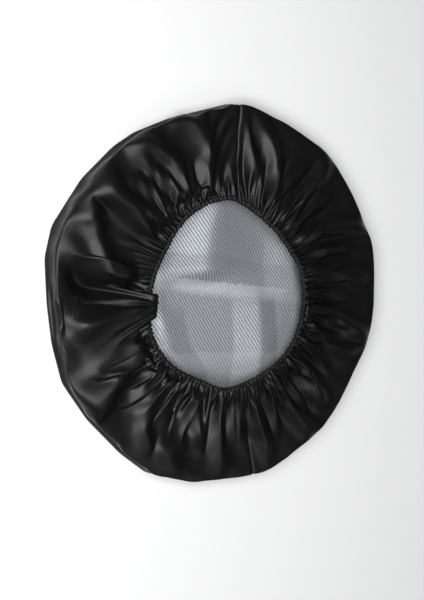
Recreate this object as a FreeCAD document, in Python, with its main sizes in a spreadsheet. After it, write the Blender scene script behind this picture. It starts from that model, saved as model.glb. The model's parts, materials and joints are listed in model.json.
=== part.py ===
"""Spare tyre cover, lying on its front face with its elastic mouth upwards.

The cover is a round front panel and a deep band, both of cloth with a PVC skin on a knitted backing. The
band is cut in two panels, joined near the top and near the bottom. It stands up from the rim seam, turns
over a rounded shoulder and comes back inwards to the mouth, where its edge is turned over a loop of
elastic that gathers it.

Frame: origin on the floor at the middle of the front panel, +Z up out of the mouth. Angles run about +Z
from +X. Lengths are in millimetres and angles in degrees.
"""

import FreeCAD
import Part
import Sketcher

import math
import os

SIZES = {
    # cloth
    "skin_thick": 0.7,
    "backing_thick": 0.5,
    "edge_thick": 1.2,
    # band, as it stands with no tyre inside
    "rim_radius": 365,
    "wall_height": 32,
    "shoulder_radius": 28,
    "back_slope": 2,
    "band_inner_radius": 189,
    "top_join_angle": 85,
    "bottom_join_angle": -80,
    # turned edges and threads
    "edge_width": 12,
    "edge_arc": 2,
    "thread_thick": 0.5,
    "thread_width": 1,
    "thread_inset": 3,
    "join_thread_arc": 0.4,
    # mouth
    "mouth_radius": 177,
    "casing_bottom": 48,
    "casing_height": 12,
    "casing_wall": 3,
    "casing_round": 2.5,
    "hollow_width": 4.6,
    "elastic_thick": 2,
    "lap_thick": 1.6,
    "lap_angle": 92,
    "lap_arc": 9,
    "tack_thick": 0.4,
    "tack_arc": 3,
    "tack_inset": 1,
}

doc = FreeCAD.newDocument("spare_tyre_cover")
sheet = doc.addObject("Spreadsheet::Sheet", "Sizes")
for row, (alias, value) in enumerate(SIZES.items(), start=1):
    sheet.set(f"A{row}", alias)
    sheet.set(f"B{row}", str(value))
    sheet.setAlias(f"B{row}", alias)
doc.recompute()

sub_parts = []


# ---- helpers ------------------------------------------------------------------------------------------


def amount(expression):
    """The number that an expression on the sheet's cells comes to."""
    return float(sheet.evalExpression(expression))


def vec(x, y):
    return FreeCAD.Vector(x, y, 0)


def new_body(label, start=None):
    """A body of its own, turned about +Z by the start angle."""
    body = doc.addObject("PartDesign::Body", label)
    body.Label = label
    turn = amount(start) if start else 0
    body.Placement = FreeCAD.Placement(vec(0, 0), FreeCAD.Rotation(FreeCAD.Vector(0, 0, 1), turn))
    if start:
        body.setExpression("Placement.Rotation.Angle", start)
    sub_parts.append(body)
    return body


def new_sketch(body, name, role):
    """A sketch on one of the body's own origin planes."""
    sketch = body.newObject("Sketcher::SketchObject", name)
    plane = next(f for f in body.Origin.OriginFeatures if f.Role == role)
    sketch.AttachmentSupport = [(plane, "")]
    sketch.MapMode = "FlatFace"
    return sketch


def dimension(sketch, name, kind, refs, expression):
    """A dimension of the sketch, bound to the sheet."""
    index = sketch.addConstraint(Sketcher.Constraint(kind, *refs, amount(expression)))
    sketch.renameConstraint(index, name)
    sketch.setExpression(f"Constraints.{name}", expression)


def rectangle(sketch, name, left, right, low, high):
    """Four lines between two radii and two heights, each given as an expression."""
    x0, x1, y0, y1 = (amount(e) for e in (left, right, low, high))
    corners = [vec(x0, y0), vec(x1, y0), vec(x1, y1), vec(x0, y1)]
    first = sketch.GeometryCount
    for i in range(4):
        sketch.addGeometry(Part.LineSegment(corners[i], corners[(i + 1) % 4]))
    for i in range(4):
        line = first + i
        sketch.addConstraint(Sketcher.Constraint("Coincident", line, 2, first + (i + 1) % 4, 1))
        sketch.addConstraint(Sketcher.Constraint("Vertical" if i % 2 else "Horizontal", line))
    dimension(sketch, f"{name}_left", "DistanceX", (-1, 1, first, 1), left)
    dimension(sketch, f"{name}_right", "DistanceX", (-1, 1, first, 2), right)
    dimension(sketch, f"{name}_low", "DistanceY", (-1, 1, first, 1), low)
    dimension(sketch, f"{name}_high", "DistanceY", (-1, 1, first + 2, 1), high)


def rounded_rectangle(sketch, name, left, right, low, high, round_radius):
    """A rectangle as above, with its corners rounded by tangent arcs."""
    x0, x1, y0, y1, r = (amount(e) for e in (left, right, low, high, round_radius))
    centres = [vec(x1 - r, y0 + r), vec(x1 - r, y1 - r), vec(x0 + r, y1 - r), vec(x0 + r, y0 + r)]
    first = sketch.GeometryCount
    arcs = []
    for i, centre in enumerate(centres):
        begin = (i - 1) * math.pi / 2
        circle = Part.Circle(centre, FreeCAD.Vector(0, 0, 1), r)
        arcs.append(Part.ArcOfCircle(circle, begin, begin + math.pi / 2))
    for i in range(4):
        sketch.addGeometry(Part.LineSegment(arcs[i - 1].EndPoint, arcs[i].StartPoint))
        sketch.addGeometry(arcs[i])
    for i in range(4):
        line, arc, following = first + 2 * i, first + 2 * i + 1, first + (2 * i + 2) % 8
        sketch.addConstraint(Sketcher.Constraint("Tangent", line, 2, arc, 1))
        sketch.addConstraint(Sketcher.Constraint("Tangent", arc, 2, following, 1))
        if i:
            sketch.addConstraint(Sketcher.Constraint("Equal", arc, first + 1))
    sketch.addConstraint(Sketcher.Constraint("Horizontal", first))
    sketch.addConstraint(Sketcher.Constraint("Vertical", first + 2))
    dimension(sketch, f"{name}_round", "Radius", (first + 1,), round_radius)
    dimension(sketch, f"{name}_left", "DistanceX", (-1, 1, first + 6, 1), left)
    dimension(sketch, f"{name}_right", "DistanceX", (-1, 1, first + 2, 1), right)
    dimension(sketch, f"{name}_low", "DistanceY", (-1, 1, first, 1), low)
    dimension(sketch, f"{name}_high", "DistanceY", (-1, 1, first + 4, 1), high)


def revolve(body, sketch, name, arc="360"):
    """Turns a section about the body's Z axis, counter-clockwise from the start angle."""
    feature = body.newObject("PartDesign::Revolution", name)
    feature.Profile = sketch
    feature.ReferenceAxis = (sketch, ["V_Axis"])
    feature.Angle = amount(arc)
    feature.setExpression("Angle", arc)
    return feature


def ring(label, left, right, low, high, start=None, arc="360"):
    """A flat ring of rectangular section, or an arc of one."""
    body = new_body(label, start)
    sketch = new_sketch(body, f"{label}_section", "XZ_Plane")
    rectangle(sketch, "ring", left, right, low, high)
    revolve(body, sketch, f"{label}_turn", arc)
    return body


def disc(label, radius, low, thick):
    """A round panel lying flat at the height named."""
    body = new_body(label)
    sketch = new_sketch(body, f"{label}_outline", "XY_Plane")
    sketch.AttachmentOffset = FreeCAD.Placement(FreeCAD.Vector(0, 0, amount(low)), FreeCAD.Rotation())
    sketch.setExpression("AttachmentOffset.Base.z", low)
    circle = sketch.addGeometry(Part.Circle(vec(0, 0), FreeCAD.Vector(0, 0, 1), amount(radius)))
    sketch.addConstraint(Sketcher.Constraint("Coincident", circle, 3, -1, 1))
    dimension(sketch, "radius", "Radius", (circle,), radius)
    pad = body.newObject("PartDesign::Pad", f"{label}_pad")
    pad.Profile = sketch
    pad.Length = amount(thick)
    pad.setExpression("Length", thick)
    return body


# ---- the band's section -------------------------------------------------------------------------------


def band_layer(label, start, arc, outside, inside, low):
    """One layer of the band between two depths below its outer face, turned through an arc.

    The section is an upright wall, a round shoulder and a back that slopes down to the mouth.
    """
    body = new_body(label, start)
    sketch = new_sketch(body, f"{label}_section", "XZ_Plane")
    slope = math.radians(amount("Sizes.back_slope"))
    centre = vec(amount("Sizes.rim_radius - Sizes.shoulder_radius"), amount("Sizes.wall_height"))
    hem_x, low_y = amount("Sizes.band_inner_radius"), amount(low)

    def face(depth):
        """The wall's foot, the shoulder's arc and the back's inner end, this far below the outer face."""
        radius = amount(f"Sizes.shoulder_radius - ({depth})")
        arc_of_face = Part.ArcOfCircle(
            Part.Circle(centre, FreeCAD.Vector(0, 0, 1), radius), 0, math.pi / 2 + slope
        )
        crown = arc_of_face.EndPoint
        hem = vec(hem_x, crown.y - (crown.x - hem_x) * math.tan(slope))
        return vec(centre.x + radius, low_y), arc_of_face, hem

    foot, shoulder, hem = face(outside)
    inner_foot, inner_shoulder, inner_hem = face(inside)
    edges = [
        Part.LineSegment(foot, shoulder.StartPoint),
        shoulder,
        Part.LineSegment(shoulder.EndPoint, hem),
        Part.LineSegment(hem, inner_hem),
        Part.LineSegment(inner_hem, inner_shoulder.EndPoint),
        inner_shoulder,
        Part.LineSegment(inner_shoulder.StartPoint, inner_foot),
        Part.LineSegment(inner_foot, foot),
    ]
    sketch.addGeometry(edges)
    for kind, refs in (
        ("Tangent", (0, 2, 1, 1)),
        ("Tangent", (1, 2, 2, 1)),
        ("Coincident", (2, 2, 3, 1)),
        ("Coincident", (3, 2, 4, 1)),
        ("Tangent", (4, 2, 5, 2)),
        ("Tangent", (5, 1, 6, 1)),
        ("Coincident", (6, 2, 7, 1)),
        ("Coincident", (7, 2, 0, 1)),
        ("Coincident", (1, 3, 5, 3)),
        ("Vertical", (0,)),
        ("Vertical", (3,)),
        ("Horizontal", (7,)),
    ):
        sketch.addConstraint(Sketcher.Constraint(kind, *refs))
    dimension(sketch, "wall_outside", "DistanceX", (-1, 1, 0, 1), f"Sizes.rim_radius - ({outside})")
    dimension(sketch, "wall_inside", "DistanceX", (-1, 1, 6, 2), f"Sizes.rim_radius - ({inside})")
    dimension(sketch, "shoulder", "Radius", (1,), f"Sizes.shoulder_radius - ({outside})")
    dimension(sketch, "wall_top", "DistanceY", (-1, 1, 1, 3), "Sizes.wall_height")
    dimension(sketch, "wall_foot", "DistanceY", (-1, 1, 7, 1), low)
    dimension(sketch, "mouth_end", "DistanceX", (-1, 1, 3, 1), "Sizes.band_inner_radius")
    turn = sketch.addConstraint(Sketcher.Constraint("Angle", 2, slope + math.pi))
    sketch.renameConstraint(turn, "slope")
    sketch.setExpression("Constraints.slope", "180 + Sizes.back_slope")
    other = sketch.addConstraint(Sketcher.Constraint("Angle", 4, slope))
    sketch.renameConstraint(other, "inner_slope")
    sketch.setExpression("Constraints.inner_slope", "Sizes.back_slope")
    revolve(body, sketch, f"{label}_turn", arc)
    return body


# ---- where the layers lie -----------------------------------------------------------------------------

CLOTH = "Sizes.skin_thick + Sizes.backing_thick"
LINED = "Sizes.rim_radius - Sizes.skin_thick - Sizes.backing_thick"
TOP = "Sizes.top_join_angle"
BOTTOM = "Sizes.bottom_join_angle"
LEFT_ARC = f"360 - ({TOP} - {BOTTOM})"
RIGHT_ARC = f"{TOP} - {BOTTOM}"


def front_panel():
    """The round panel, PVC side down, and its knitted backing."""
    disc("front_panel", "Sizes.rim_radius - Sizes.skin_thick", "0", "Sizes.skin_thick")
    disc("front_panel_backing", LINED, "Sizes.skin_thick", "Sizes.backing_thick")


def band_panels():
    """The two band panels, each a PVC skin on a knitted backing."""
    for side, start, arc in (("left", TOP, LEFT_ARC), ("right", BOTTOM, RIGHT_ARC)):
        band_layer(f"band_{side}", start, arc, "0", "Sizes.skin_thick", "0")
        band_layer(f"band_{side}_backing", start, arc, "Sizes.skin_thick", CLOTH, "Sizes.skin_thick")


def rim_seam():
    """Inside the rim: the turned edges of the front panel and the band, and the row that sews them."""
    low = CLOTH
    for label in ("front_turned_edge", "band_turned_edge"):
        high = f"{low} + Sizes.edge_thick"
        ring(label, f"{LINED} - Sizes.edge_width", LINED, low, high)
        low = high
    thread_out = f"{LINED} - Sizes.thread_inset"
    thread_in = f"{thread_out} - Sizes.thread_width"
    ring("rim_stitches", thread_in, thread_out, low, f"{low} + Sizes.thread_thick")
    return low


def panel_join(name, angle, low):
    """Inside a join of the band: each panel's turned edge, pressed open, and the row along the join."""
    deep = f"{CLOTH} + Sizes.edge_thick"
    band_layer(f"{name}_join_edge_a", f"{angle} - Sizes.edge_arc", "Sizes.edge_arc", CLOTH, deep, low)
    band_layer(f"{name}_join_edge_b", angle, "Sizes.edge_arc", CLOTH, deep, low)
    band_layer(
        f"{name}_join_stitches",
        f"{angle} - Sizes.join_thread_arc / 2",
        "Sizes.join_thread_arc",
        deep,
        f"{deep} + Sizes.thread_thick",
        low,
    )


def hem_casing():
    """The band's edge, turned over to make a channel round the mouth, one half on each panel."""
    outer = "Sizes.mouth_radius + 2 * Sizes.casing_wall + Sizes.hollow_width"
    top = "Sizes.casing_bottom + Sizes.casing_height"
    for side, start, arc in (("left", TOP, LEFT_ARC), ("right", BOTTOM, RIGHT_ARC)):
        label = f"hem_casing_{side}"
        body = new_body(label, start)
        sketch = new_sketch(body, f"{label}_section", "XZ_Plane")
        rounded_rectangle(
            sketch, "casing", "Sizes.mouth_radius", outer, "Sizes.casing_bottom", top, "Sizes.casing_round"
        )
        rectangle(
            sketch,
            "hollow",
            "Sizes.mouth_radius + Sizes.casing_wall",
            f"{outer} - Sizes.casing_wall",
            "Sizes.casing_bottom + Sizes.casing_wall",
            f"{top} - Sizes.casing_wall",
        )
        revolve(body, sketch, f"{label}_turn", arc)
    for label, low in (
        ("hem_stitches_upper", top),
        ("hem_stitches_lower", "Sizes.casing_bottom - Sizes.thread_thick"),
    ):
        thread_in = "Sizes.mouth_radius + Sizes.casing_wall + Sizes.thread_inset"
        thread_out = f"{thread_in} + Sizes.thread_width"
        ring(label, thread_in, thread_out, low, f"{low} + Sizes.thread_thick")


def mouth_elastic():
    """The elastic loop in the casing, its lapped end, and the bar tack that closes it."""
    inner = "Sizes.mouth_radius + Sizes.casing_wall"
    outer = f"{inner} + Sizes.elastic_thick"
    low = "Sizes.casing_bottom + Sizes.casing_wall"
    high = "Sizes.casing_bottom + Sizes.casing_height - Sizes.casing_wall"
    body = ring("mouth_elastic", inner, outer, low, high, "Sizes.lap_angle")
    lap = new_sketch(body, "mouth_elastic_lap_section", "XZ_Plane")
    rectangle(lap, "lap", outer, f"{outer} + Sizes.lap_thick", low, high)
    body.Tip = revolve(body, lap, "mouth_elastic_lap_turn", "Sizes.lap_arc")
    ring(
        "elastic_bar_tack",
        f"{outer} + Sizes.lap_thick",
        f"{outer} + Sizes.lap_thick + Sizes.tack_thick",
        f"{low} + Sizes.tack_inset",
        f"{high} - Sizes.tack_inset",
        "Sizes.lap_angle + Sizes.lap_arc / 2 - Sizes.tack_arc / 2",
        "Sizes.tack_arc",
    )


# ---- build, check and write ---------------------------------------------------------------------------

front_panel()
band_panels()
rim_top = rim_seam()
panel_join("top", TOP, rim_top)
panel_join("bottom", BOTTOM, rim_top)
hem_casing()
mouth_elastic()
doc.recompute()

failed = [o.Name for o in doc.Objects if "Invalid" in o.State or "Error" in o.State]
if failed:
    raise SystemExit(f"these objects failed: {failed}")
for part in sub_parts:
    if part.Shape.isNull() or not part.Shape.isValid() or not part.Shape.Solids:
        raise SystemExit(f"{part.Label} has no valid solid")

os.makedirs("parts", exist_ok=True)
for part in sub_parts:
    part.Shape.exportStep(f"parts/{part.Label}.step")
    box = part.Shape.BoundBox
    print(
        f"{part.Label}: {part.Shape.Volume:.0f} mm3, "
        f"x {box.XMin:.1f}..{box.XMax:.1f}, y {box.YMin:.1f}..{box.YMax:.1f}, z {box.ZMin:.1f}..{box.ZMax:.1f}"
    )
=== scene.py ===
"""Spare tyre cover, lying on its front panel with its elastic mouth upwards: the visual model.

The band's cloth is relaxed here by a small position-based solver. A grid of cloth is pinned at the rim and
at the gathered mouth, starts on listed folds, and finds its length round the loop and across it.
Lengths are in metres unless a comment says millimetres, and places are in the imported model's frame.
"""

import json
import math

import bmesh
import bpy
import numpy as np
from mathutils import Matrix, Vector


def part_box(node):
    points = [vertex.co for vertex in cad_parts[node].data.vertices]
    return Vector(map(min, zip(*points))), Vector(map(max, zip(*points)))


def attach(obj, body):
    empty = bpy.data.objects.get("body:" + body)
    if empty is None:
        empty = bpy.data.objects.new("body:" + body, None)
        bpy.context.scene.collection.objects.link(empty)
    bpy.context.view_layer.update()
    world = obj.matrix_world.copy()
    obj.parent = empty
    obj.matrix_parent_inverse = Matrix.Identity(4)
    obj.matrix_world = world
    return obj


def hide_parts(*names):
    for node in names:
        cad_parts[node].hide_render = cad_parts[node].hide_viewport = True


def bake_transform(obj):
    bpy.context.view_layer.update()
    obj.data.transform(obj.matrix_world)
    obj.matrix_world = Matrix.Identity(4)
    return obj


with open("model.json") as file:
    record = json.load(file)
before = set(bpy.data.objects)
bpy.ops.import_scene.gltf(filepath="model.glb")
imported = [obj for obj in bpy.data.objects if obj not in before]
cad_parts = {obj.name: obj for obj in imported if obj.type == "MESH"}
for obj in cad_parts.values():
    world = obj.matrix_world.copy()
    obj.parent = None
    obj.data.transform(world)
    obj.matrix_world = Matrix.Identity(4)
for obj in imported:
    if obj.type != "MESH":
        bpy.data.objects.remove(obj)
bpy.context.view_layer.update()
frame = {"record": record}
MM = 0.001
TURN = 2 * math.pi

# ---- sizes ----------------------------------------------------------------------------------------------

# From the frame: the front panel, the mouth, the hem's casing, the elastic and the top of the band.
RIM_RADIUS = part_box("front_panel")[1].x
MOUTH_MOUNT = next(m for m in frame["record"]["mounts"] if m["name"] == "mouth")
MOUTH_RADIUS = MOUTH_MOUNT["dims"]["r_mm"] * MM
CASING_LOW, CASING_HIGH = (corner.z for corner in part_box("hem_casing_left"))
CASING_MIDDLE = (CASING_LOW + CASING_HIGH) / 2
CASING_HALF = (CASING_HIGH - CASING_LOW) / 2
ELASTIC_LOW, ELASTIC_HIGH = (corner.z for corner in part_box("mouth_elastic"))
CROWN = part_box("band_left")[1].z
# The casing's half depth along the radius, and where the band's mean section ends: how far outside the
# mouth's edge, and how high.
CASING_DEPTH = 5.3 * MM
HEM_EDGE = 3.5 * MM
HEM_HEIGHT = CASING_HIGH - 1.5 * MM
# The band's mean section: the wall's height, the shoulder's radius and how far it turns past level, how
# deep the wall is tucked in where it has sunk, and the height that no fold passes.
WALL = 39 * MM
SHOULDER = 12 * MM
BACK_SLOPE = math.radians(2)
TUCK = 11 * MM
CEILING = CROWN + 9.5 * MM
# The cloth: its PVC skin, its knit backing, the gap that keeps their faces apart, and the band's cut width.
SKIN = 0.7 * MM
BACKING = 0.5 * MM
CLOTH = SKIN + BACKING
PLY_GAP = 0.02 * MM
BAND_WIDTH = 240 * MM
# Seams: the width and thickness of a turned edge, the gap under one, and the rim's stitches.
EDGE_WIDTH = 12 * MM
EDGE_THICK = 1.2 * MM
EDGE_GAP = 0.1 * MM
RIM_STITCH_PITCH = 6 * MM
RIM_STITCH_INSET = 9 * MM
# Round the cover, in degrees: the two joins, the middle of the elastic's lap and how long that is.
TOP_JOIN = 85
BOTTOM_JOIN = 280
LAP = 92
LAP_ARC = 9
# Where the cover lies calm: from and to, in degrees, and how calm.
CALM = [(79, 106, 1), (100, 160, 0.8), (150, 206, 1)]
# The small waves round the loop: (seed, count) of each.
GATHERS = (7, 118)
PLEATS = (11, 59)
BILLOWS = (17, 37)
FINE_PUCKERS = (13, 46)
BROAD_PUCKERS = (19, 27)
CASING_CRINKLES = (5, 287)
CASING_SAG = (9, 31)
RIM_SEAM_WAVES = (3, 90)

# The corners of the rim as the cover lies, anticlockwise from +X: (degrees, share of the rim radius).
RIM_CORNERS = [
    (-5, 1.015), (12, 1.03), (18, 1.024), (32, 1.002), (48, 1.027), (68, 0.996), (80, 1.013), (84, 1.03),
    (107, 0.975), (120, 0.987), (128, 0.993), (142, 1.005), (158, 1.033), (167, 1.024), (180, 0.99),
    (192, 0.987), (204, 0.999), (218, 0.985), (234, 0.997), (245, 1.024), (257, 1.012), (270, 0.999),
    (285, 1.03), (306, 1.019), (317, 1.011), (340, 1.014), (344, 1.025),
]
# The mouth's edge the same way: (degrees, share of the mouth radius).
MOUTH_CORNERS = [
    (4, 1.005), (16, 0.996), (31, 0.936), (47, 0.935), (64, 0.952), (78, 1.01), (89, 1.067), (105, 1.054),
    (120, 1.025), (134, 0.986), (146, 0.951), (156, 0.961), (170, 0.98), (182, 1.0), (193, 1.03),
    (202, 1.042), (212, 1.038), (224, 1.022), (233, 0.997), (244, 0.978), (252, 0.978), (260, 1.014),
    (269, 1.035), (282, 1.009), (295, 1.004), (311, 1.032), (325, 1.044), (339, 1.032), (353, 1.011),
]
# Where a broad fold hangs over the hem into the mouth, from and to in degrees, the width of the cloth that
# hangs over, and the radius of its roll.
FLAP = (173, 196)
FLAP_WIDTH = 56 * MM
FLAP_ROLL = 12.5 * MM
# Ridges of the band's folds: points from the mouth outwards as (radius, degrees), height, and half widths
# on the clockwise and the anticlockwise side, in mm. A height below 0 is a valley.
RIDGES = [
    ([(213, 102), (251, 100), (275, 98), (306, 99), (340, 102), (362, 107)], 14, 14, 34),
    ([(216, 115), (242, 115), (288, 115), (332, 120), (360, 125)], 15, 22, 22),
    ([(218, 120), (273, 123), (311, 125), (344, 126)], 9, 16, 16),
    ([(211, 136), (271, 139), (307, 140), (357, 139)], 18, 20, 20),
    ([(208, 128), (259, 129), (290, 131), (312, 134), (326, 139)], 10, 16, 16),
    ([(219, 143), (308, 143), (362, 142)], 12, 16, 16),
    ([(225, 167), (266, 165), (282, 162), (298, 158), (311, 154), (337, 150), (360, 147)], 20, 16, 24),
    ([(221, 169), (248, 168), (327, 164), (360, 162)], 10, 26, 14),
    ([(205, 174), (250, 175), (290, 175), (320, 172), (340, 169)], -24, 14, 14),
    ([(180, 179), (230, 183), (271, 185), (309, 186), (336, 187)], 20, 12, 60),
    ([(190, 197), (256, 195), (321, 194), (344, 192)], -5, 22, 22),
    ([(210, 201), (254, 199), (302, 202), (335, 205)], 7, 22, 22),
    ([(216, 208), (272, 210), (294, 212), (314, 214), (367, 215)], 20, 34, 12),
    ([(205, 219), (231, 220), (272, 222)], 9, 12, 12),
    ([(200, 230), (240, 228), (290, 230), (340, 238)], 12, 20, 20),
    ([(191, 241), (222, 252), (258, 254), (293, 258)], 14, 12, 12),
    ([(294, 251), (306, 246), (327, 244), (358, 255)], 12, 20, 20),
    ([(186, 264), (230, 264), (290, 266), (345, 268)], 9, 16, 16),
    ([(183, 278), (208, 281), (236, 284), (288, 286), (303, 287), (345, 286)], 13, 14, 14),
    ([(199, 298), (240, 298), (261, 300)], 11, 11, 11),
    ([(195, 304), (259, 302), (328, 304), (362, 306)], 14, 14, 14),
    ([(180, 310), (204, 315), (237, 319), (290, 316), (335, 316)], 17, 16, 16),
    ([(185, 328), (220, 331), (275, 335), (345, 337)], 14, 16, 16),
    ([(177, 346), (192, 344), (227, 339), (258, 337)], 14, 11, 11),
    ([(180, 350), (239, 349), (311, 345), (362, 343)], 16, 16, 16),
    ([(181, 360), (215, 357), (231, 353)], 12, 9, 9),
    ([(195, 368), (245, 368), (300, 365), (345, 363)], 16, 15, 15),
    ([(188, 376), (236, 378), (305, 377)], 11, 11, 11),
    ([(196, 387), (228, 382), (285, 377)], 14, 11, 11),
    ([(196, 394), (231, 390), (277, 386), (360, 380)], 19, 14, 14),
    ([(196, 404), (246, 401), (305, 398)], 13, 13, 13),
    ([(191, 414), (225, 411), (253, 409), (308, 406), (354, 407)], 17, 16, 16),
    ([(185, 424), (215, 421), (254, 418), (315, 413)], 15, 11, 11),
    ([(206, 423), (251, 424), (292, 428), (332, 433)], 15, 12, 12),
    ([(204, 430), (225, 430), (261, 435)], 9, 9, 9),
    ([(218, 436), (258, 437), (301, 441)], 10, 11, 11),
    ([(206, 450), (229, 447), (260, 447)], 6, 12, 12),
]


def smooth(x):
    """0 below 0, 1 above 1 and a soft step between."""
    x = np.clip(x, 0, 1)
    return x * x * (3 - 2 * x)


def loop_radius(corners, theta, soft):
    """The radius at theta of a closed outline with straight edges between its corners, which are softened
    over an angle in degrees."""
    a = np.radians([c[0] for c in corners])
    r = np.array([c[1] for c in corners])
    a = np.append(a, a[0] + TURN)
    r = np.append(r, r[0])

    def sharp(t):
        t = np.mod(t - a[0], TURN) + a[0]
        k = np.clip(np.searchsorted(a, t, side="right") - 1, 0, len(a) - 2)
        x, y = r[k] * np.cos(a[k]), r[k] * np.sin(a[k])
        dx, dy = r[k + 1] * np.cos(a[k + 1]) - x, r[k + 1] * np.sin(a[k + 1]) - y
        return (x * dy - y * dx) / (np.cos(t) * dy - np.sin(t) * dx)

    turns = np.radians(np.linspace(-soft, soft, 9))
    return sum(sharp(theta + t) for t in turns) / len(turns)


def rim(theta):
    """The radius of the cover's outline."""
    return RIM_RADIUS * loop_radius(RIM_CORNERS, theta, 1.6)


def mouth(theta):
    """The radius of the mouth's edge."""
    return 0.985 * MOUTH_RADIUS * loop_radius(MOUTH_CORNERS, theta, 4)


def uneven_waves(seed, count, theta):
    """The phase of count waves round the loop, of uneven widths, and an uneven strength."""
    rng = np.random.default_rng(seed)
    edges = np.concatenate([[0], np.cumsum(rng.uniform(0.6, 1.4, count))])
    edges *= TURN / edges[-1]
    strength = rng.uniform(0.5, 1.3, count)
    theta = np.mod(theta, TURN)
    return (
        np.interp(theta, edges, np.arange(count + 1)) * TURN,
        np.interp(theta, edges, np.append(strength, strength[0])),
    )


def gathers(theta):
    """The pleats that the elastic draws the hem into."""
    return uneven_waves(*GATHERS, theta)


def polar(r, theta, z):
    """Points from radii, angles and heights."""
    return np.stack(np.broadcast_arrays(r * np.cos(theta), r * np.sin(theta), z), -1)


# ---- the band's cloth -----------------------------------------------------------------------------------

# The grid of cloth: points round the loop and across the band, and the rows at the hem without backing.
AROUND, ACROSS = 864, 72
HEM_ROWS = 18
# The solver: its steps, the rounds of pulling in each, and the share of each move that carries on.
STEPS, QUICK_STEPS = 120, 40
ROUNDS = 4
CARRY = 0.93
# Bending: the share taken out in a step, the reach in cells, and the soft offset past which it gives way.
# The first holds over the whole band, and the others fade towards the hem.
BENDS = [(0.05, 1, 3 * MM), (0.05, 2, 2 * MM), (0.004, 4, 5 * MM)]
# How firmly the broad shape is held to the laid folds, and how much more so where the cover lies calm.
HOLD, CALM_HOLD = 0.03, 0.04
# How far off its neighbours' mean a point of a tight fold lies.
TIGHT = 1.2 * MM


def sunk(theta):
    """How far the wall has given way: 1 on the cover's left, 0 on its right."""
    return smooth(0.5 - 0.9 * np.cos(theta))


def section(share, theta, hem_at):
    """The band's mean section at a share of its width: radius, height and the outward normal. On the
    cover's left the wall is lower, and has sunk in along its middle."""
    rim_at = rim(theta) - CLOTH / 2
    wall = WALL * (1 - 0.15 * sunk(theta))
    tuck = TUCK * sunk(theta) * (0.8 + 0.2 * np.cos(3 * theta + 1))
    crown_r = rim_at - SHOULDER * (1 + math.sin(BACK_SLOPE))
    crown_z = wall + SHOULDER * math.cos(BACK_SLOPE)
    turn = math.pi / 2 + BACK_SLOPE
    back = np.hypot(crown_r - hem_at, crown_z - HEM_HEIGHT)
    along = share * (wall + SHOULDER * turn + back)
    a = np.clip((along - wall) / SHOULDER, 0, turn)
    t = np.clip((along - wall - SHOULDER * turn) / back, 0, 1)
    tucked = rim_at - tuck * np.clip(1 - np.abs(2 * along / wall - 1), 0, None)
    r = np.where(along < wall, tucked, rim_at - SHOULDER + SHOULDER * np.cos(a))
    z = np.where(along < wall, along, wall + SHOULDER * np.sin(a))
    return r + t * (hem_at - crown_r), z + t * (HEM_HEIGHT - crown_z), np.cos(a), np.sin(a)


def calmness(theta):
    """1 where the cover lies calm, 0 elsewhere."""
    degrees = np.degrees(np.mod(theta, TURN))
    ramp = 8
    calm = 0
    for start, end, how in CALM:
        calm = calm + how * smooth((degrees - start) / ramp) * smooth((end - degrees) / ramp)
    return np.minimum(calm, 1)


def fullness(share, theta):
    """How long the cloth is round the loop, as a radius: less than a straight strip near the rim and where
    the cover lies calm, because the finest gathers are smaller than the cells of the grid."""
    r = section(share, theta, mouth(theta) + HEM_EDGE)[0]
    used = 0.45 + 0.4 * smooth((share - 0.33 - 0.12 * sunk(theta)) / 0.4)
    used = used * (1 - 0.8 * calmness(theta) * smooth((1.02 - share) / 0.25))
    return r * (1 + used * (RIM_RADIUS / r - 1)) + 0.01 * RIM_RADIUS


def flap_weight(theta):
    """1 where the broad fold hangs over the hem, 0 elsewhere."""
    degrees = np.degrees(np.mod(theta, TURN))
    return smooth((degrees - FLAP[0]) / 6) * smooth((FLAP[1] - degrees) / 12)


def flap_roll(share, theta):
    """The cloth of the broad fold past the hem: over the casing, round into the mouth and back under it."""
    flat, slant = 0.3, 16 * MM
    t = (share - (1 - FLAP_WIDTH / BAND_WIDTH)) * BAND_WIDTH / FLAP_WIDTH
    a = np.clip((t - flat) / 0.7, 0, 1) * math.pi
    r = mouth(theta) - 1 * MM + np.clip(1 - t / flat, 0, None) * slant - FLAP_ROLL * np.sin(a)
    return r, CASING_MIDDLE + FLAP_ROLL * np.cos(a)


def ridges(r, theta, share):
    """How far the main folds stand out of the mean section."""
    rise = np.zeros_like(r)
    for points, height, clockwise, anticlockwise in RIDGES:
        at = np.array([p[0] for p in points]) * MM
        angle = np.interp(r, at, np.radians([p[1] for p in points]))
        off = np.angle(np.exp(1j * (theta - angle))) * r
        wide = np.where(off < 0, clockwise, anticlockwise) * MM
        wide = wide * (0.45 + 0.55 * np.clip(r / (300 * MM), 0.6, 1.2))
        fade = smooth((at.max() + 12 * MM - r) / (40 * MM)) * smooth((r - at.min() + 20 * MM) / (30 * MM))
        fade *= smooth((share - 0.02) / 0.14)
        rise += 1.25 * height * MM * fade * np.exp(-np.abs(off / wide) ** 1.3)
    return rise - rise.mean(0)


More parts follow.
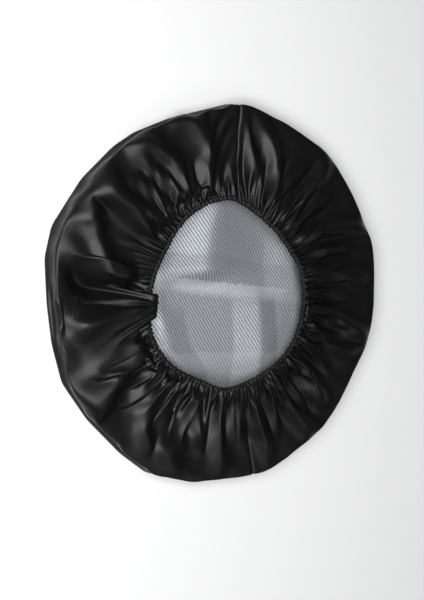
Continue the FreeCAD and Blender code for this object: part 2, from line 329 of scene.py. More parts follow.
def add_small_waves(rise, theta, share):
    """Adds the billows, puckers, gathers and pleats between the main folds to the cloth's rise."""
    flap, calm = flap_weight(theta), calmness(theta)
    phase, strength = uneven_waves(*BILLOWS, theta)
    billow = smooth((share - 0.5) / 0.2) * smooth((1 - share) / 0.12) * (1 - flap) * (1 - 0.8 * calm)
    rise += 4 * MM * billow * strength * np.cos(phase)
    pucker = smooth(share / 0.06) * smooth((0.34 - share) / 0.16)
    pucker = pucker * (1 - 0.4 * calm) * (0.3 + 0.7 * sunk(theta))
    phase, strength = uneven_waves(*FINE_PUCKERS, theta)
    rise += 2.2 * MM * pucker * strength * np.cos(phase + 16 * share)
    phase, strength = uneven_waves(*BROAD_PUCKERS, theta)
    rise += 3 * MM * pucker * strength * np.cos(phase - 11 * share)
    phase, strength = gathers(theta)
    rise += 3.2 * MM * smooth((share - 0.85) / 0.12) * strength * np.cos(phase) * (1 - flap)
    phase = uneven_waves(*PLEATS, theta)[0]
    pleat = smooth((share - 0.62 - 0.1 * sunk(theta)) / 0.2) * smooth((1.02 - share) / 0.15) * (1 - flap)
    rise += (4 - 1.5 * sunk(theta)) * MM * pleat * (1 - 0.5 * calm) * np.cos(phase)


def lay_over_hem(r, z, theta, share):
    """Lays the broad fold's cloth over the hem, where it hangs into the mouth."""
    early = np.minimum(share / (1 - FLAP_WIDTH / BAND_WIDTH), 1)
    flap_r, flap_z, _, _ = section(early, theta, mouth(theta) + 14 * MM)
    flap_z = flap_z + smooth((early - 0.5) / 0.5) * (CASING_MIDDLE + FLAP_ROLL - HEM_HEIGHT)
    roll_r, roll_z = flap_roll(share, theta)
    rolled = early >= 1
    flap_r, flap_z = np.where(rolled, roll_r, flap_r), np.where(rolled, roll_z, flap_z)
    late = flap_weight(theta) * smooth((share - 0.55) / 0.2)
    return r + late * (flap_r - r), z + late * (flap_z - z)


def laid_folds():
    """The cloth as it starts: on its mean section, with the folds laid on it."""
    theta = TURN * np.arange(AROUND)[:, None] / AROUND + np.zeros(ACROSS)
    share = np.arange(ACROSS)[None, :] / (ACROSS - 1) + np.zeros((AROUND, 1))
    r, z, out_r, out_z = section(share, theta, mouth(theta) + HEM_EDGE)
    rise = ridges(r, theta, share)
    add_small_waves(rise, theta, share)
    r, z = lay_over_hem(r + rise * out_r, z + rise * out_z, theta, share)
    return polar(r, theta, np.maximum(z, CLOTH))


def pull(a, b, rest, share=1.0):
    """Moves each pair of points towards its rest length."""
    d = b - a
    d *= (0.5 * share) * (1 - rest / np.sqrt((d * d).sum(-1, keepdims=True)))
    a += d
    b -= d


def pull_around(cloth, rest, share, here, there):
    """The same round the loop, for each column's rows here and the next column's rows there."""
    a, b = cloth[:, here], cloth[:, there]
    pull(a[0::2], b[1::2], rest[0::2], share)
    pull(a[1:-1:2], b[2::2], rest[1:-1:2], share)
    pull(a[-1:], b[:1], rest[-1:], share)


def bend_back(cloth, share, reach, soft):
    """Takes out curvature that changes too fast over a reach of cells: the cloth's stiffness in bending. It
    gives way where the cloth is bent by more than a soft offset, so folds draw together into creases."""
    c = np.roll(cloth, reach, 0) + np.roll(cloth, -reach, 0) - 2 * cloth
    c /= 1 + (c * c).sum(-1, keepdims=True) / soft**2
    cloth -= share * (np.roll(c, reach, 0) + np.roll(c, -reach, 0) - 2 * c)
    middle, low, high = slice(reach, -reach), slice(None, -2 * reach), slice(2 * reach, None)
    c = np.zeros_like(cloth)
    c[:, middle] = cloth[:, low] + cloth[:, high] - 2 * cloth[:, middle]
    c /= 1 + (c * c).sum(-1, keepdims=True) / soft**2
    cloth[:, middle] -= share[:, middle] * (c[:, low] + c[:, high] - 2 * c[:, middle])


def keep_rolled(cloth, columns, centre, size):
    """Keeps the broad fold's cloth rolled round the casing that it hangs over."""
    part = cloth[columns, :-1]
    r = np.hypot(part[..., 0], part[..., 1])
    off_r, off_z = r - centre[columns, None], part[..., 2] - CASING_MIDDLE
    away = np.sqrt(off_r**2 + off_z**2)
    push = np.maximum(size[columns, None] / np.maximum(away, 1e-6) - 1, 0)
    part[..., :2] *= (1 + push * off_r / r)[..., None]
    part[..., 2] += push * off_z


def broadly(d, around, across):
    """Offsets averaged over the cells beside each, so that small folds are left out of them."""
    d = sum(np.roll(d, k, 0) for k in range(-around, around + 1)) / (2 * around + 1)
    wider = np.pad(d, ((0, 0), (across, across), (0, 0)), mode="edge")
    return sum(wider[:, k:k + d.shape[1]] for k in range(2 * across + 1)) / (2 * across + 1)


def cloth_lengths(cloth, share, theta):
    """The lengths that the cloth's cells find: round the loop, across the band, and along the diagonals."""
    length = np.linalg.norm(np.roll(cloth, -1, 0) - cloth, axis=-1, keepdims=True)
    du = TURN / AROUND * fullness(share[..., 0], theta[:, None])[..., None]
    du = np.maximum(du, broadly(length, 18, 0)).astype(cloth.dtype)
    length = np.linalg.norm(cloth[:, 1:] - cloth[:, :-1], axis=-1).mean(1)[:, None, None]
    flap = flap_weight(theta)[:, None, None]
    dv = np.minimum(BAND_WIDTH / (ACROSS - 1), 1.01 * broadly(length, 12, 0))
    dv = (dv + flap * (1.01 * broadly(length, 4, 0) - dv)).astype(cloth.dtype)
    return du, dv, np.sqrt(du[:, :-1] ** 2 + dv ** 2)


def pull_together(cloth, du, dv, diagonal):
    """One round of pulling all cells towards their lengths."""
    everything, before, after = slice(None), slice(0, -1), slice(1, None)
    pull_around(cloth, du, 1.0, everything, everything)
    pull(cloth[:, 0:-1:2], cloth[:, 1::2], dv)
    pull(cloth[:, 1:-1:2], cloth[:, 2::2], dv)
    pull_around(cloth, diagonal, 0.6, before, after)
    pull_around(cloth, diagonal, 0.6, after, before)


def relax(cloth, steps):
    """Lets the cloth find its length between the rim and the mouth. Its broad shape is held softly to the
    laid folds, and it stays inside the rim's outline, over the floor and under the ceiling."""
    share = (np.arange(ACROSS) / (ACROSS - 1)).astype(cloth.dtype)[None, :, None]
    theta = TURN * np.arange(AROUND) / AROUND
    du, dv, diagonal = cloth_lengths(cloth, share, theta)
    limber = smooth((0.93 - share) / 0.25)
    outline = (rim(theta) + 2.5 * MM).astype(cloth.dtype)[:, None]
    rim_row, hem_row = cloth[:, 0].copy(), cloth[:, -1].copy()
    flap_columns = slice(*(round(a / 360 * AROUND) for a in FLAP))
    roll_size = (FLAP_ROLL * flap_weight(theta)).astype(cloth.dtype)
    roll = (mouth(theta) - 1 * MM).astype(cloth.dtype)
    laid = cloth.copy()
    hold = (HOLD + CALM_HOLD * calmness(theta)[:, None, None] * limber).astype(cloth.dtype)
    before = cloth.copy()
    for _ in range(steps):
        drift = (cloth - before) * CARRY
        before = cloth.copy()
        cloth = cloth + drift
        for _ in range(ROUNDS):
            pull_together(cloth, du, dv, diagonal)
            cloth[:, 0], cloth[:, -1] = rim_row, hem_row
        for (part, reach, soft), where in zip(BENDS, (np.ones_like(share), limber, limber)):
            bend_back(cloth, part * where, reach, soft)
        cloth += hold * broadly(laid - cloth, 5, 3)
        keep_rolled(cloth, flap_columns, roll, roll_size)
        cloth[..., :2] *= np.minimum(outline / np.hypot(cloth[..., 0], cloth[..., 1]), 1)[..., None]
        cloth[:, 0], cloth[:, -1] = rim_row, hem_row
        cloth[:, 1:, 2] = np.clip(cloth[:, 1:, 2], 4 * MM, CEILING)
    return cloth


def open_tight_folds(cloth):
    """Opens the folds before the hem that are so tight that the cloth would pass through itself."""
    share = (np.arange(ACROSS) / (ACROSS - 1)).astype(cloth.dtype)[None, :, None]
    free = smooth((0.9 - share) / 0.08) * smooth(share / 0.03)
    for _ in range(12):
        off = broadly(cloth, 2, 1) - cloth
        tight = smooth((np.linalg.norm(off, axis=-1, keepdims=True) - TIGHT) / TIGHT)
        cloth = cloth + 0.7 * free * tight * off
    return cloth


def normals(grid):
    """The outward normals of a grid whose first axis runs anticlockwise and second from rim to mouth."""
    along = np.roll(grid, -1, 0) - np.roll(grid, 1, 0)
    n = np.cross(along, np.gradient(grid, axis=1))
    return n / np.maximum(np.linalg.norm(n, axis=-1, keepdims=True), 1e-12)


# ---- meshes ---------------------------------------------------------------------------------------------


def add_mesh(name, points, faces, material):
    """A smooth mesh object, its faces turned outwards."""
    mesh = bpy.data.meshes.new(name)
    mesh.from_pydata(points.reshape(-1, 3).tolist(), [], faces)
    work = bmesh.new()
    work.from_mesh(mesh)
    if work.calc_volume(signed=True) < 0:
        bmesh.ops.reverse_faces(work, faces=work.faces)
    work.to_mesh(mesh)
    work.free()
    mesh.polygons.foreach_set("use_smooth", np.ones(len(mesh.polygons), bool))
    mesh.materials.append(material)
    mesh.update()
    obj = bpy.data.objects.new(name, mesh)
    bpy.context.scene.collection.objects.link(obj)
    return obj


def grid_quads(rows, columns, loop_rows=False, loop_columns=False):
    """The quads between neighbours on a grid of points."""
    i = np.arange(rows if loop_rows else rows - 1)[:, None]
    j = np.arange(columns if loop_columns else columns - 1)[None, :]
    i2, j2 = (i + 1) % rows, (j + 1) % columns
    quads = np.stack([i * columns + j, i2 * columns + j, i2 * columns + j2, i * columns + j2], -1)
    return quads.reshape(-1, 4)


def add_shell(name, outer, inner, material, loop=False):
    """A thin closed sheet between two grids."""
    rows, columns = outer.shape[:2]
    count = rows * columns
    index = np.arange(count).reshape(rows, columns)
    quads = [grid_quads(rows, columns, loop), grid_quads(rows, columns, loop)[:, ::-1] + count]
    edges = [(index[:, 0], True), (index[:, -1], False)]
    if not loop:
        edges += [(index[0], False), (index[-1], True)]
    for edge, flip in edges:
        ends = np.append(edge, edge[0]) if loop else edge
        wall = np.stack([ends[:-1], ends[1:], ends[1:] + count, ends[:-1] + count], -1)
        quads.append(wall[:, ::-1] if flip else wall)
    points = np.concatenate([outer.reshape(-1, 3), inner.reshape(-1, 3)])
    return add_mesh(name, points, np.concatenate(quads).tolist(), material)


def add_tubes(name, tubes, material, loop=False):
    """Closed tubes through rings of points: an array of tubes, rings, points round a ring and x, y, z."""
    count, rows, columns = tubes.shape[:3]
    one = grid_quads(rows, columns, loop, True)
    quads = (one[None] + rows * columns * np.arange(count)[:, None, None]).reshape(-1, 4).tolist()
    if not loop:
        for k in range(count):
            first = k * rows * columns
            quads.append(list(range(first, first + columns)))
            quads.append(list(range(first + rows * columns - 1, first + (rows - 1) * columns - 1, -1)))
    return add_mesh(name, tubes, quads, material)


def add_threads(name, paths, radius, material):
    """Threads of one radius along paths: an array of threads, points and x, y, z. Their ends are thin."""
    along = np.gradient(paths, axis=1)
    along /= np.linalg.norm(along, axis=-1, keepdims=True)
    off_every_path = [0.31, 0.22, 0.93]
    side = np.cross(along, off_every_path)
    side /= np.linalg.norm(side, axis=-1, keepdims=True)
    up = np.cross(side, along)
    around = TURN * np.arange(6) / 6
    size = np.full(paths.shape[1], radius)
    size[[0, -1]] *= 0.4
    round_it = np.cos(around)[:, None] * side[:, :, None] + np.sin(around)[:, None] * up[:, :, None]
    return add_tubes(name, paths[:, :, None] + size[:, None, None] * round_it, material)


# ---- materials ------------------------------------------------------------------------------------------

# Linear colours, from the dark tone to the light one.
BLACK_PVC = [(0.003, 0.003, 0.0033), (0.0052, 0.0052, 0.0056)]
CRUSHED_PVC = [(0.002, 0.002, 0.0022), (0.006, 0.006, 0.0065)]
BLACK_THREAD = [(0.006, 0.006, 0.006), (0.014, 0.014, 0.015)]
BLACK_ELASTIC = [(0.012, 0.012, 0.012), (0.04, 0.04, 0.04)]
KNIT_RIBS = [(0.28, 0.30, 0.335), (0.34, 0.36, 0.40), (0.47, 0.49, 0.52), (0.60, 0.61, 0.64)]
KNIT_FUZZ = [(0.72, 0.72, 0.72), (1, 1, 1)]
# Painted light: a lighter knit tone laid on the main crease's strip and below the lower crease, in place of
# the light and sheen there.
PAINTED_LIGHT_KNIT = (0.62, 0.64, 0.67)
FLOOR = (0.9, 0.9, 0.9, 1)
# The knit's ribs: how far apart they are and how they lie.
RIB_PITCH = 5.9 * MM
RIB_TURN = math.radians(-31.7)
# The creases beside which the knit is painted lighter to stand in for light: how many degrees each falls to
# the right, and its height at the middle.
MAIN_CREASE = (7.7, 23 * MM)
LOWER_CREASE = (3.4, -112 * MM)


def new_material(name, roughness, specular=0.5):
    """A node material, its nodes and links, and its main shader."""
    m = bpy.data.materials.new(name)
    m.use_nodes = True
    shader = m.node_tree.nodes["Principled BSDF"]
    shader.inputs["Roughness"].default_value = roughness
    shader.inputs["Specular IOR Level"].default_value = specular
    return m, m.node_tree.nodes, m.node_tree.links, shader


def add_noise(nodes, links, size, detail=3):
    """Noise with features of one size in metres, over the object's own coordinates."""
    noise = nodes.new("ShaderNodeTexNoise")
    noise.inputs["Scale"].default_value = 1 / size
    noise.inputs["Detail"].default_value = detail
    links.new(nodes.new("ShaderNodeTexCoord").outputs["Object"], noise.inputs["Vector"])
    return noise.outputs["Fac"]


def add_ramp(nodes, links, value, places, colours):
    """A colour ramp over a value, from colour to colour at these places."""
    ramp = nodes.new("ShaderNodeValToRGB")
    while len(ramp.color_ramp.elements) < len(places):
        ramp.color_ramp.elements.new(0.5)
    for element, place, colour in zip(ramp.color_ramp.elements, places, colours):
        element.position = place
        element.color = (*colour, 1)
    links.new(value, ramp.inputs["Fac"])
    return ramp.outputs["Color"]


def add_bump(nodes, links, height, distance, strength=1.0, below=None):
    """A bump of a height over another bump, or over the smooth surface."""
    bump = nodes.new("ShaderNodeBump")
    bump.inputs["Distance"].default_value = distance
    bump.inputs["Strength"].default_value = strength
    links.new(height, bump.inputs["Height"])
    if below is not None:
        links.new(below, bump.inputs["Normal"])
    return bump.outputs["Normal"]


def add_range(nodes, links, value, low, high, to_low=0.0, to_high=1.0):
    """A soft step of a value, from to_low at low to to_high at high."""
    step = nodes.new("ShaderNodeMapRange")
    step.interpolation_type = "SMOOTHSTEP"
    for name, number in (("From Min", low), ("From Max", high), ("To Min", to_low), ("To Max", to_high)):
        step.inputs[name].default_value = number
    links.new(value, step.inputs["Value"])
    return step.outputs["Result"]


def add_math(nodes, links, operation, a, b):
    """One step of arithmetic on two sockets."""
    step = nodes.new("ShaderNodeMath")
    step.operation = operation
    links.new(a, step.inputs[0])
    links.new(b, step.inputs[1])
    return step.outputs["Value"]


def add_mix(nodes, links, blend, factor, a, b):
    """Two colours mixed, b a socket or a constant colour and the factor a socket or a number."""
    mix = nodes.new("ShaderNodeMix")
    mix.data_type = "RGBA"
    mix.blend_type = blend
    links.new(a, mix.inputs["A"])
    if isinstance(b, tuple):
        mix.inputs["B"].default_value = (*b, 1)
    else:
        links.new(b, mix.inputs["B"])
    if isinstance(factor, float):
        mix.inputs["Factor"].default_value = factor
    else:
        links.new(factor, mix.inputs["Factor"])
    return mix.outputs["Result"]


def beside_crease(nodes, links, place, tilt, level):
    """The places along a crease that falls to the right by tilt degrees, and the heights over it."""
    turned = nodes.new("ShaderNodeMapping")
    turned.inputs["Rotation"].default_value = (0, 0, math.radians(tilt))
    turned.inputs["Location"].default_value = (0, -level, 0)
    links.new(place, turned.inputs["Vector"])
    split = nodes.new("ShaderNodeSeparateXYZ")
    links.new(turned.outputs["Vector"], split.inputs["Vector"])
    ragged = add_range(nodes, links, add_noise(nodes, links, 7 * MM), 0.2, 0.8, -3 * MM, 3 * MM)
    return split.outputs["X"], add_math(nodes, links, "ADD", split.outputs["Y"], ragged)


def painted_crease_light(nodes, links, place):
    """1 on the strip below the main packing crease, where the knit is painted lighter in place of the light
    and sheen on the crease's lit face, 0 elsewhere.
    """
    along, up = beside_crease(nodes, links, place, *MAIN_CREASE)
    painted_lit_band = add_range(nodes, links, up, -1 * MM, 3 * MM, 1.0, 0.0)
    for value, *steps in (
        (up, -34 * MM, -15 * MM),
        (along, -115 * MM, -85 * MM, 0.3, 1.0),
        (along, 0.0, 170 * MM, 1.0, 0.35),
    ):
        painted_lit_band = add_math(nodes, links, "MULTIPLY", painted_lit_band, add_range(nodes, links, value, *steps))
    return painted_lit_band


def pvc_material():
    """Black PVC leather: near black and satin, with a fine grain and soft dents."""
    m, nodes, links, shader = new_material("pvc_skin", 0.4, 0.31)
    tone = add_ramp(nodes, links, add_noise(nodes, links, 60 * MM), [0.3, 0.75], BLACK_PVC)
    links.new(tone, shader.inputs["Base Color"])
    rough = nodes.new("ShaderNodeMapRange")
    rough.inputs["To Min"].default_value = 0.35
    rough.inputs["To Max"].default_value = 0.48
    links.new(add_noise(nodes, links, 25 * MM, 4), rough.inputs["Value"])
    links.new(rough.outputs["Result"], shader.inputs["Roughness"])
    dents = add_bump(nodes, links, add_noise(nodes, links, 14 * MM, 2), 0.5 * MM, 0.5)
    cells = nodes.new("ShaderNodeTexVoronoi")
    cells.inputs["Scale"].default_value = 1 / (1.1 * MM)
    links.new(nodes.new("ShaderNodeTexCoord").outputs["Object"], cells.inputs["Vector"])
    grain = add_bump(nodes, links, cells.outputs["Distance"], 0.06 * MM, 0.5, dents)
    links.new(grain, shader.inputs["Normal"])
    return m


def hem_material():
    """The same PVC where the elastic crushes it: duller, and crinkled all over."""
    m, nodes, links, shader = new_material("pvc_hem", 0.55, 0.35)
    crinkles = add_noise(nodes, links, 5 * MM, 4)
    tone = add_ramp(nodes, links, crinkles, [0.35, 0.7], CRUSHED_PVC)
    links.new(tone, shader.inputs["Base Color"])
    links.new(add_bump(nodes, links, crinkles, 2.5 * MM, 0.8), shader.inputs["Normal"])
    return m


def add_ribs(nodes, links, place):
    """Ragged ribs a pitch apart, 1 on their tops and 0 between them."""
    turned = nodes.new("ShaderNodeMapping")
    turned.inputs["Rotation"].default_value = (0, 0, RIB_TURN)
    links.new(place, turned.inputs["Vector"])
    ribs = nodes.new("ShaderNodeTexWave")
    radians_per_unit = 20
    ribs.inputs["Scale"].default_value = TURN / radians_per_unit / RIB_PITCH
    ribs.inputs["Distortion"].default_value = 1.8
    ribs.inputs["Detail"].default_value = 3
    ribs.inputs["Detail Scale"].default_value = 2.5
    links.new(turned.outputs["Vector"], ribs.inputs["Vector"])
    return ribs.outputs["Fac"]


def knit_material():
    """Silver-grey knit backing: ribs that run down to the right, with a fuzz of loops. It is painted
    lighter below the lower packing crease and on the strip below the main one, in place of the light and
    sheen there, and its ribs are flattened on that strip."""
    m, nodes, links, shader = new_material("knit_backing", 0.5, 0.5)
    shader.inputs["Metallic"].default_value = 0.4
    place = nodes.new("ShaderNodeTexCoord").outputs["Object"]
    ribs = add_ribs(nodes, links, place)
    tone = add_ramp(nodes, links, ribs, [0.0, 0.5, 0.8, 1], KNIT_RIBS)
    # Painted light: the knit below the lower crease is painted lighter, in place of the light it catches.
    _, below = beside_crease(nodes, links, place, *LOWER_CREASE)
    painted_light_below = add_range(nodes, links, below, -6 * MM, 2 * MM, 0.28, 0.0)
    tone = add_mix(nodes, links, "MIX", painted_light_below, tone, PAINTED_LIGHT_KNIT)
    # Painted highlight: the main crease's lit strip is painted in the lighter tone.
    painted_lit_band = painted_crease_light(nodes, links, place)
    tone = add_mix(nodes, links, "MIX", painted_lit_band, tone, PAINTED_LIGHT_KNIT)
    fuzz = add_ramp(nodes, links, add_noise(nodes, links, 2.2 * MM, 3), [0.3, 0.7], KNIT_FUZZ)
    links.new(add_mix(nodes, links, "MULTIPLY", 0.8, tone, fuzz), shader.inputs["Base Color"])
    loops = add_bump(nodes, links, add_noise(nodes, links, 1.6 * MM, 2), 0.25 * MM, 0.6)
    flat = add_math(nodes, links, "SUBTRACT", ribs, painted_lit_band)
    links.new(add_bump(nodes, links, flat, 0.5 * MM, 0.7, loops), shader.inputs["Normal"])
    return m


def thread_material():
    """Black polyester thread with a faint twist."""
    m, nodes, links, shader = new_material("thread", 0.6, 0.3)
    tone = add_ramp(nodes, links, add_noise(nodes, links, 3 * MM), [0.3, 0.7], BLACK_THREAD)
    links.new(tone, shader.inputs["Base Color"])
    twist = add_bump(nodes, links, add_noise(nodes, links, 0.5 * MM, 1), 0.1 * MM)
    links.new(twist, shader.inputs["Normal"])
    return m


def elastic_material():
    """Black woven elastic: matt, with a fine weave."""
    m, nodes, links, shader = new_material("elastic", 0.75, 0.3)
    weave = add_noise(nodes, links, 1.5 * MM)
    tone = add_ramp(nodes, links, weave, [0.3, 0.7], BLACK_ELASTIC)
    links.new(tone, shader.inputs["Base Color"])
    links.new(add_bump(nodes, links, weave, 0.2 * MM), shader.inputs["Normal"])
    return m


PVC = pvc_material()
PVC_HEM = hem_material()
KNIT = knit_material()
THREAD = thread_material()
ELASTIC = elastic_material()


# ---- pieces ---------------------------------------------------------------------------------------------


def rides_cover(piece, slot, *nodes):
    """The piece lies still with the front panel and stands for these CAD nodes."""
    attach(piece, "cover")
    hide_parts(*nodes)
    return piece


def rides_mouth(piece, slot, *nodes):
    """The piece rises with the hem and stands for these CAD nodes."""
    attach(piece, "mouth")
    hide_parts(*nodes)
    return piece


def spans_band(piece, slot, *nodes):
    """The piece is drawn out between the rim and the hem, and stands for these CAD nodes."""
    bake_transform(piece)
    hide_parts(*nodes)
    return piece


def crease(across, along, points, height, before, after, ease=1):
    """A fold of a flat cloth, in millimetres: a nearly sharp ridge where across meets the line through
    points of (along, across), with its own width on each side. Above 1, an ease softens its feet."""
    at, line = (np.array(p, float) for p in zip(*points))
    off = across - np.interp(along, at, line)
    off = np.abs(off / np.where(off < 0, before, after))
    ends = smooth((along - at[0] + 40) / 50) * smooth((at[-1] + 40 - along) / 50)
    return height * ends * np.clip(1.04 - np.sqrt(off * off + 0.006), 0, None) ** ease


def panel_relief(x, y):
    """How far the front panel's packing creases lift it, over places in millimetres."""
    lift = crease(y, x, [(-136, 36), (-88, 36), (-19, 30), (102, 7), (200, -3)], 14, 120, 48)
    upright = crease(x, y, [(38, -41), (117, -25), (181, -10), (240, 5)], 32, 150, 170, 1.7)
    lift += upright * smooth((y - 10) / 50)
    lift += crease(x, y, [(10, 180), (90, 185)], 11, 65, 40)
    lift += crease(y, x, [(-137, -106), (99, -116), (148, -128), (195, -135)], 14, 70, 112)
    lift += crease(x, y, [(-179, 92), (-112, 94), (-23, 90)], 12, 55, 45)
    lift += crease(x, y, [(-153, -71), (-101, -113), (-45, -130)], 12, 45, 50)
    lift += 0.8 * (1 + np.sin(x / 31 + y / 57)) * (1 + np.sin(y / 39 - x / 83))
    inside = smooth((300 - np.hypot(x, y)) / 90)
    return lift * inside * MM


def disc_grid(count):
    """A square grid of points spread over the disc inside the rim, flat on the floor."""
    u = np.linspace(-1, 1, count)
    a, b = np.meshgrid(u, u, indexing="ij")
    share = np.maximum(np.abs(a), np.abs(b))
    low = np.minimum(np.abs(a), np.abs(b))
    eighth = low / np.maximum(share, 1e-9) * math.pi / 4
    theta = np.where(np.abs(a) >= np.abs(b), eighth, math.pi / 2 - eighth)
    theta = np.arctan2(np.sin(theta) * np.where(b < 0, -1, 1), np.cos(theta) * np.where(a < 0, -1, 1))
    return polar(share * (rim(theta) - CLOTH), theta, 0.0)


def front_panel():
    """The round front panel, lying with its packing creases: a skin and its knit backing."""
    flat = disc_grid(190)
    flat[..., 2] = panel_relief(flat[..., 0] / MM, flat[..., 1] / MM)
    up = np.array([0, 0, 1.0])
    skin = add_shell("front_skin", flat, flat + up * SKIN, PVC)
    lining = add_shell("front_lining", flat + up * (SKIN + PLY_GAP), flat + up * CLOTH, KNIT)
    rides_cover(skin, "pvc_skin", "front_panel")
    rides_cover(lining, "knit_backing", "front_panel_backing")
    return skin, lining


def ring_strip(name, r_in, r_out, z_low, z_high, theta, material):
    """A flat strip of rectangular section round the loop, from arrays of its edges over theta."""
    corners = [(r_in, z_low), (r_out, z_low), (r_out, z_high), (r_in, z_high)]
    return add_tubes(name, np.stack([polar(r, theta, z) for r, z in corners], 1)[None], material, True)


def rim_seam():
    """The front panel's seam allowance inside the rim, folded back, and the row of stitches through it."""
    theta = TURN * np.arange(720) / 720
    edge = rim(theta) - CLOTH - 4 * MM
    wave = 0.5 * MM * np.cos(uneven_waves(*RIM_SEAM_WAVES, theta)[0])
    low = CLOTH + EDGE_GAP
    high = low + EDGE_THICK + wave / 3
    front = ring_strip("front_seam_allowance", edge - EDGE_WIDTH + wave, edge, low, high, theta, PVC)
    count = round(TURN * RIM_RADIUS / RIM_STITCH_PITCH)
    start = TURN * np.arange(count)[:, None] / count
    turn = start + np.linspace(0, 0.7, 5) * TURN / count
    rise = np.sin(np.linspace(0, math.pi, 5)) * 0.5 * MM
    paths = polar(rim(turn) - RIM_STITCH_INSET, turn, CLOTH + EDGE_THICK + 0.2 * MM + rise)
    stitches = add_threads("rim_thread", paths, 0.4 * MM, THREAD)
    rides_cover(front, "pvc_skin", "front_turned_edge")
    rides_cover(stitches, "thread", "rim_stitches")
    return front, stitches


def seam_groove(cloth, out, column):
    """Draws the cloth in along a join, where the stitches pull it."""
    away = np.arange(AROUND) - column
    away = np.minimum(np.abs(away), AROUND - np.abs(away))
    return cloth - out * (2.2 * MM * np.exp(-((away / 1.1) ** 2)))[:, None, None]


def band_half(cloth, out, side, columns):
    """One of the band's two panels, a skin and its backing, and how long the panel is cut."""
    middle, away = cloth[columns], out[columns]
    face, back = middle + away * CLOTH / 2, middle + away * (CLOTH / 2 - SKIN)
    skin = add_shell(f"band_skin_{side}", face, back, PVC)
    middle, away = middle[:, :-HEM_ROWS], away[:, :-HEM_ROWS]
    face, back = middle + away * (CLOTH / 2 - SKIN - PLY_GAP), middle - away * CLOTH / 2
    lining = add_shell(f"band_lining_{side}", face, back, KNIT)
    spans_band(skin, "pvc_skin", f"band_{side}")
    spans_band(lining, "knit_backing", f"band_{side}_backing")
    return skin, lining, (len(columns) - 1) * TURN * RIM_RADIUS / AROUND


def turned_edge(name, node, middle, away, loop=False):
    """A seam allowance that lies inside the band's cloth."""
    inside = middle - away * (CLOTH / 2 + EDGE_GAP)
    edge = add_shell(name, inside, inside - away * EDGE_THICK, PVC, loop)
    spans_band(edge, "pvc_skin", node)


def band_join(cloth, out, join, column, sides):
    """The turned edges of the two panels at a join, and the row of stitches between them."""
    wide = round(EDGE_WIDTH / (TURN * RIM_RADIUS / AROUND))
    rows = slice(6, ACROSS - 5)
    for part, side, ends in zip("ab", sides, ((-wide, 0), (0, wide))):
        columns = np.arange(ends[0], ends[1] + 1) + column
        name, node = f"{join}_join_allowance_{side}", f"{join}_join_edge_{part}"
        turned_edge(name, node, cloth[columns, rows], out[columns, rows])
    line = cloth[column, rows] - out[column, rows] * (CLOTH / 2 + EDGE_THICK)
    share = np.linspace(0.1, 0.8, 4)[None, :, None]
    paths = line[:-1, None] * (1 - share) + line[1:, None] * share
    paths += -out[column, rows][:-1, None] * 0.4 * MM * np.sin(share * math.pi)
    stitches = add_threads(f"{join}_join_thread", paths, 0.35 * MM, THREAD)
    spans_band(stitches, "thread", f"{join}_join_stitches")


def band_pieces(cloth):
    """The band's two halves of skin and backing, with the allowances and stitches of their joins."""
    top, bottom = (round(a / 360 * AROUND) for a in (TOP_JOIN, BOTTOM_JOIN))
    out = normals(cloth)
    cloth = seam_groove(seam_groove(cloth, out, top), out, bottom)
    out = normals(broadly(cloth, 2, 1))
    halves = {
        "left": band_half(cloth, out, "left", np.arange(top, bottom + 1)),
        "right": band_half(cloth, out, "right", np.arange(bottom, AROUND + top + 1) % AROUND),
    }
    rows = slice(1, 2 + round(EDGE_WIDTH / (BAND_WIDTH / (ACROSS - 1))))
    turned_edge("band_seam_allowance", "band_turned_edge", cloth[:, rows], out[:, rows], True)
    band_join(cloth, out, "top", top, ("right", "left"))
    band_join(cloth, out, "bottom", bottom, ("left", "right"))
    return halves


def casing_ring(theta, around):
    """Points of the gathered casing: pleats and crinkles round a flattened tube on the mouth's edge."""
    phase, strength = gathers(theta)
    fine, fine_strength = uneven_waves(*CASING_CRINKLES, theta)
    pleat = 2.2 * MM * strength * (np.abs(np.cos(phase / 2)) - 0.75)
    crinkle = 0.6 * MM * fine_strength * np.cos(fine + 2 * around)
    grow = pleat + crinkle
    sag = 0.8 * MM * np.cos(uneven_waves(*CASING_SAG, theta)[0])
    c, s = np.cos(around), np.sin(around)
    squarish = 0.75
    r = (CASING_DEPTH + grow) * np.sign(c) * np.abs(c) ** squarish
    z = (CASING_HALF + grow) * np.sign(s) * np.abs(s) ** squarish
    return polar(mouth(theta) + CASING_DEPTH + r, theta, CASING_MIDDLE + z + sag)


def casing_halves():
    """The gathered casing, in two halves that meet at the joins."""
    around = TURN * np.arange(22)[None, :] / 22
    rings_per_degree = 3.4
    halves = []
    for side, start, end in (("left", TOP_JOIN, BOTTOM_JOIN), ("right", BOTTOM_JOIN, TOP_JOIN + 360)):
        theta = np.radians(np.linspace(start, end, round((end - start) * rings_per_degree)))[:, None]
        casing = add_tubes(f"gathered_hem_{side}", casing_ring(theta, around)[None], PVC_HEM)
        halves.append(rides_mouth(casing, "pvc_skin", f"hem_casing_{side}"))
    return halves


def hem_threads(cloth):
    """The overlock stitches above and below the cloth, beside the casing."""
    row, out = cloth[:, -6], normals(cloth)[:, -6]
    first = np.arange(0, AROUND, 3)
    share = np.linspace(0, 1.8, 5)[None, :, None]
    rows = []
    for level, side in (("upper", 1), ("lower", -1)):
        lifted = row + side * out * (CLOTH / 2 + 0.25 * MM)
        a, b, c = (lifted[first + k][:, None] for k in range(3))
        path = np.where(share < 1, a + (b - a) * share, b + (c - b) * (share - 1))
        stitches = add_threads(f"hem_thread_{level}", path, 0.4 * MM, THREAD)
        rows.append(rides_mouth(stitches, "thread", f"hem_stitches_{level}"))
    return rows


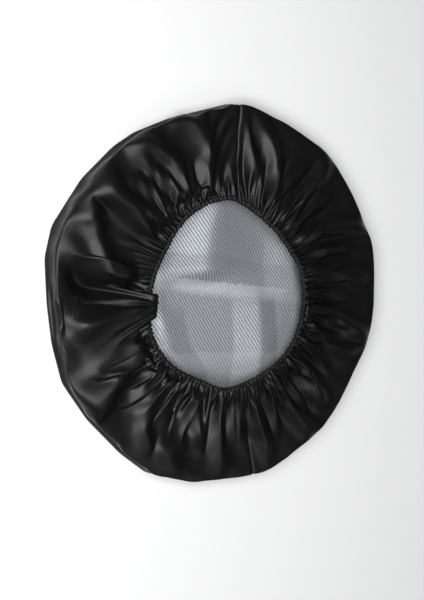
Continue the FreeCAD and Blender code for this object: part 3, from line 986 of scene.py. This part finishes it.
def elastic_loop():
    """The elastic inside the casing: a ribbed strip round the mouth, whose end steps over its start."""
    step_after, step_arc = 356, 3
    turn = np.radians(np.linspace(LAP - LAP_ARC / 2, LAP + LAP_ARC / 2 + 360, 900))
    shift = 1.9 * MM * smooth((np.degrees(turn) - LAP + LAP_ARC / 2 - step_after) / step_arc)
    middle = mouth(turn) + 4.6 * MM + shift
    half, half_thick = (ELASTIC_HIGH - ELASTIC_LOW) / 2, 0.8 * MM
    levels = np.linspace(-1, 1, 13)
    ribbing = 0.12 * MM * np.cos(levels * 6 * math.pi)
    face = np.concatenate([levels, levels[::-1]])
    depth = np.concatenate([half_thick + ribbing, -half_thick - ribbing])
    z = CASING_MIDDLE + half * face[None, :]
    strip = polar(middle[:, None] + depth, turn[:, None], z)
    elastic = add_tubes("mouth_elastic_band", strip[None], ELASTIC)
    return rides_mouth(elastic, "elastic", "mouth_elastic")


def lap_tack():
    """The zigzag bar tack that closes the elastic's lap."""
    strokes, arc = 28, 3
    zigzag = np.arange(strokes + 1)
    turn = np.radians(LAP + (zigzag / strokes - 0.5) * arc)
    path = polar(mouth(turn) + 7.7 * MM, turn, CASING_MIDDLE + 2 * MM * (-1.0) ** zigzag)
    tack = add_threads("elastic_lap_tack", path[None], 0.3 * MM, THREAD)
    return rides_mouth(tack, "thread", "elastic_bar_tack")


def hem(cloth):
    """The gathered casing in two halves, its overlock stitches, and the elastic inside it."""
    return [*casing_halves(), *hem_threads(cloth), elastic_loop(), lap_tack()]


def cover():
    """The whole cover: the front panel, the rim's seam, the band's cloth relaxed into its folds, and the
    pieces sewn to it.
    """
    front_skin, front_lining = front_panel()
    rim_pieces = rim_seam()
    steps = STEPS
    cloth = open_tight_folds(relax(laid_folds().astype(np.float32), steps).astype(float))
    halves = band_pieces(cloth)
    hem_pieces = hem(cloth)


cover()


# ---- stage ----------------------------------------------------------------------------------------------


def add_floor():
    """A wide pale floor, half a millimetre under the cover."""
    m, _, _, shader = new_material("floor", 0.9)
    shader.inputs["Base Color"].default_value = FLOOR
    half = 8.0
    z = -0.5 * MM
    points = np.array([[-half, -half, z], [half, -half, z], [half, half, z], [-half, half, z]])
    add_mesh("floor", points, [[0, 1, 2, 3]], m)


def add_area_light(name, place, size, power):
    """A rectangular light that points at the middle of the cover."""
    data = bpy.data.lights.new(name, "AREA")
    data.shape = "RECTANGLE"
    data.size, data.size_y = size
    data.energy = power
    light = bpy.data.objects.new(name, data)
    bpy.context.scene.collection.objects.link(light)
    light.location = place
    light.rotation_euler = (-Vector(place)).to_track_quat("-Z", "Y").to_euler()


def add_sky(colour, strength):
    """A faint, even light from all round."""
    world = bpy.data.worlds.new("world")
    bpy.context.scene.world = world
    world.use_nodes = True
    background = world.node_tree.nodes["Background"]
    background.inputs["Color"].default_value = colour
    background.inputs["Strength"].default_value = strength


def add_camera():
    """The camera looks down from the left, a third of a right angle off the cover's axis."""
    tilt, azimuth, distance = math.radians(32.69), math.radians(169.5), 2.4
    aim_right, aim_up = -0.0042, -0.0123
    back = Vector((math.sin(tilt) * math.cos(azimuth), math.sin(tilt) * math.sin(azimuth), math.cos(tilt)))
    up = (Vector((0, 1, 0)) - back * back.y).normalized()
    right = up.cross(back)
    data = bpy.data.cameras.new("camera")
    data.lens = 73.1
    camera = bpy.data.objects.new("camera", data)
    bpy.context.scene.collection.objects.link(camera)
    camera.location = right * aim_right + up * aim_up + back * distance
    camera.rotation_euler = Matrix((right, up, back)).transposed().to_euler()
    bpy.context.scene.camera = camera


add_floor()
add_area_light("key", (-1.9, 0.2, 2.7), (2.6, 2.4), 150)
add_area_light("fill", (0.4, -1.7, 2.5), (2.0, 1.4), 9)
add_sky((0.85, 0.92, 1, 1), 0.06)
bpy.context.scene.view_settings.view_transform = "Standard"
add_camera()
